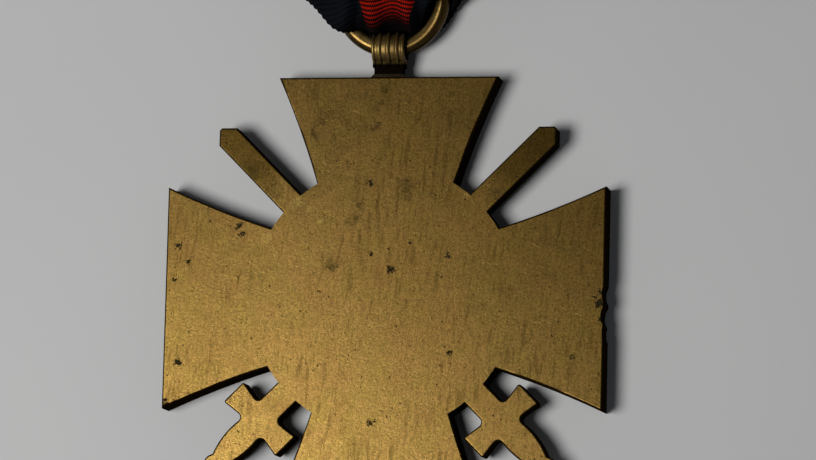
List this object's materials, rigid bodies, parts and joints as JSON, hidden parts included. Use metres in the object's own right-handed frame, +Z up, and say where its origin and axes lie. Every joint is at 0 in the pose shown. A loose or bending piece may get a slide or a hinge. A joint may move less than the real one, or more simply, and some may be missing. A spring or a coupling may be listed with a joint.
{
  "type": "medal",
  "caption": "Cross-shaped medal with crossed swords between its arms, on a ring, strap eyelet, pleated ribbon and pin brooch.",
  "frame": {"origin": "on the surface the medal lies on, below the middle of its whole outline", "axes": "+Z up, out of the plain reverse face; +Y from the cross to the brooch; +X to the right of someone facing the reverse"},
  "size_m": [0.038, 0.0936, 0.0053],
  "materials": {
    "bronze": "aged matt bronze, speckled",
    "ring_bronze": "bronze wire, rubbed bright",
    "solder": "dark tarnished solder",
    "ribbon_cloth": "ribbed rayon, striped black, white and red",
    "brass_sheet": "satin brass sheet",
    "pin_steel": "nickelled wire",
    "thread": "waxed thread"
  },
  "bodies": {
    "medal": {"cross": "bronze", "eyelet": "bronze", "eyelet_solder": "solder"},
    "ring": {"ring": "ring_bronze", "ribbon_gather": "ribbon_cloth"},
    "ribbon": {"ribbon": "ribbon_cloth", "brooch_bar": "brass_sheet", "pin_bracket": "brass_sheet", "pin_rivet": "brass_sheet", "pin_catch": "brass_sheet", "sewing_thread": "thread"},
    "pin": {"brooch_pin": "pin_steel"}
  },
  "joints": [
    {"name": "ring_swing", "type": "hinge", "parent": "medal", "child": "ring", "pos_m": [0, -0.00627, 0.00152], "axis": [1, 0, 0], "range_deg": [-96, 83]},
    {"name": "ribbon_bend", "type": "hinge", "parent": "ring", "child": "ribbon", "pos_m": [0, 0.00582, 0.00075], "axis": [1, 0, 0], "range_deg": [-60, 60]},
    {"name": "pin_swing", "type": "hinge", "parent": "ribbon", "child": "pin", "pos_m": [-0.0104, 0.04132, 0.0042], "axis": [0, 1, 0], "range_deg": [-80, 0]}
  ]
}
